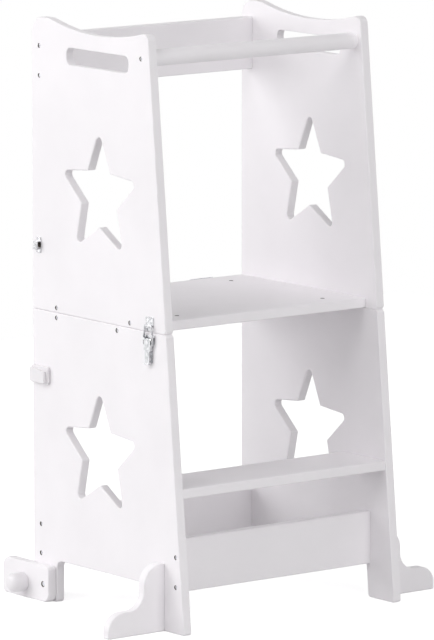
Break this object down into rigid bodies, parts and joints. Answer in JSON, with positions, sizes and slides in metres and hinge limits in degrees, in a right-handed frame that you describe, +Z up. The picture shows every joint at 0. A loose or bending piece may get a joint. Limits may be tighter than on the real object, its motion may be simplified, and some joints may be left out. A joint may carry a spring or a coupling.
{
  "type": "toddler kitchen helper stool",
  "caption": "Kitchen helper stool of white painted boards for a toddler, with star cut-outs and a grab bar, which folds into a table with a bench.",
  "frame": {"origin": "on the floor, at the middle of the bounding box", "axes": "+Z up, the front faces -Y, +X to the right seen from the front"},
  "size_m": [0.63, 0.4427, 0.9],
  "materials": {
    "painted_board": "satin white paint",
    "beech_dowel": "bare",
    "hinge_steel": "zinc plated",
    "screw_steel": "zinc plated",
    "latch_chrome": "nickel plated",
    "white_plastic": "gloss"
  },
  "bodies": {
    "base": {"lower_side_panel_left": "painted_board", "lower_side_panel_right": "painted_board", "lower_platform": "painted_board", "step_tread": "painted_board", "front_apron": "painted_board", "low_rear_rail": "painted_board", "splay_foot_left": "painted_board", "splay_foot_right": "painted_board", "hinge_leaf_lower_left": "hinge_steel", "hinge_leaf_lower_right": "hinge_steel", "hinge_pin_left": "hinge_steel", "hinge_pin_right": "hinge_steel", "latch_base_left": "latch_chrome", "latch_base_right": "latch_chrome", "latch_pin_left": "latch_chrome", "latch_pin_right": "latch_chrome", "bolt_housing_left": "white_plastic", "bolt_housing_right": "white_plastic", "arm_pivot_screw_left": "screw_steel", "arm_pivot_screw_right": "screw_steel", "lower_panel_screws": "screw_steel", "front_leg_screws": "screw_steel", "hinge_screws_lower": "screw_steel", "latch_base_screws": "screw_steel", "bolt_housing_screws": "screw_steel", "step_dowels": "beech_dowel", "apron_dowels": "beech_dowel", "foot_dowels": "beech_dowel"},
    "upper_half": {"upper_side_panel_left": "painted_board", "upper_side_panel_right": "painted_board", "upper_platform": "painted_board", "top_rear_rail": "painted_board", "grab_bar": "painted_board", "hinge_leaf_upper_left": "hinge_steel", "hinge_leaf_upper_right": "hinge_steel", "latch_keeper_left": "latch_chrome", "latch_keeper_right": "latch_chrome", "strike_left": "latch_chrome", "strike_right": "latch_chrome", "upper_panel_screws": "screw_steel", "platform_top_screws": "screw_steel", "hinge_screws_upper": "screw_steel", "latch_keeper_screws": "screw_steel", "strike_screws": "screw_steel"},
    "lever_left": {"latch_lever_left": "latch_chrome", "link_pin_left": "latch_chrome"},
    "link_left": {"latch_link_left": "latch_chrome"},
    "bolt_left": {"slide_bolt_left": "white_plastic"},
    "arm_left": {"stabiliser_arm_left": "painted_board", "arm_knob_left": "white_plastic", "knob_screw_left": "screw_steel"},
    "lever_right": {"latch_lever_right": "latch_chrome", "link_pin_right": "latch_chrome"},
    "link_right": {"latch_link_right": "latch_chrome"},
    "bolt_right": {"slide_bolt_right": "white_plastic"},
    "arm_right": {"stabiliser_arm_right": "painted_board", "arm_knob_right": "white_plastic", "knob_screw_right": "screw_steel"}
  },
  "joints": [
    {"name": "upper_fold", "type": "hinge", "parent": "base", "child": "upper_half", "pos_m": [0, 0.1635, 0.45], "axis": [-1, 0, 0], "range_deg": [0, 180]},
    {"name": "latch_lever_left", "type": "hinge", "parent": "base", "child": "lever_left", "pos_m": [-0.2139, -0.1385, 0.44], "axis": [0, 1, 0], "range_deg": [0, 120]},
    {"name": "latch_link_left", "type": "hinge", "parent": "lever_left", "child": "link_left", "pos_m": [-0.2139, -0.1385, 0.432], "axis": [0, 1, 0], "range_deg": [-120, 0]},
    {"name": "bolt_left", "type": "slide", "parent": "base", "child": "bolt_left", "axis": [0, 1, 0], "range_m": [0, 0.024]},
    {"name": "arm_left", "type": "hinge", "parent": "base", "child": "arm_left", "pos_m": [-0.2178, 0.1155, 0.028], "axis": [1, 0, 0], "range_deg": [0, 90]},
    {"name": "latch_lever_right", "type": "hinge", "parent": "base", "child": "lever_right", "pos_m": [0.2139, -0.1385, 0.44], "axis": [0, -1, 0], "range_deg": [0, 120]},
    {"name": "latch_link_right", "type": "hinge", "parent": "lever_right", "child": "link_right", "pos_m": [0.2139, -0.1385, 0.432], "axis": [0, -1, 0], "range_deg": [-120, 0]},
    {"name": "bolt_right", "type": "slide", "parent": "base", "child": "bolt_right", "axis": [0, 1, 0], "range_m": [0, 0.024]},
    {"name": "arm_right", "type": "hinge", "parent": "base", "child": "arm_right", "pos_m": [0.2178, 0.1155, 0.028], "axis": [1, 0, 0], "range_deg": [0, 90]}
  ],
  "couplings": [
    {"joint": "latch_link_left", "follows": "latch_lever_left", "ratio": -1},
    {"joint": "latch_link_right", "follows": "latch_lever_right", "ratio": -1}
  ]
}
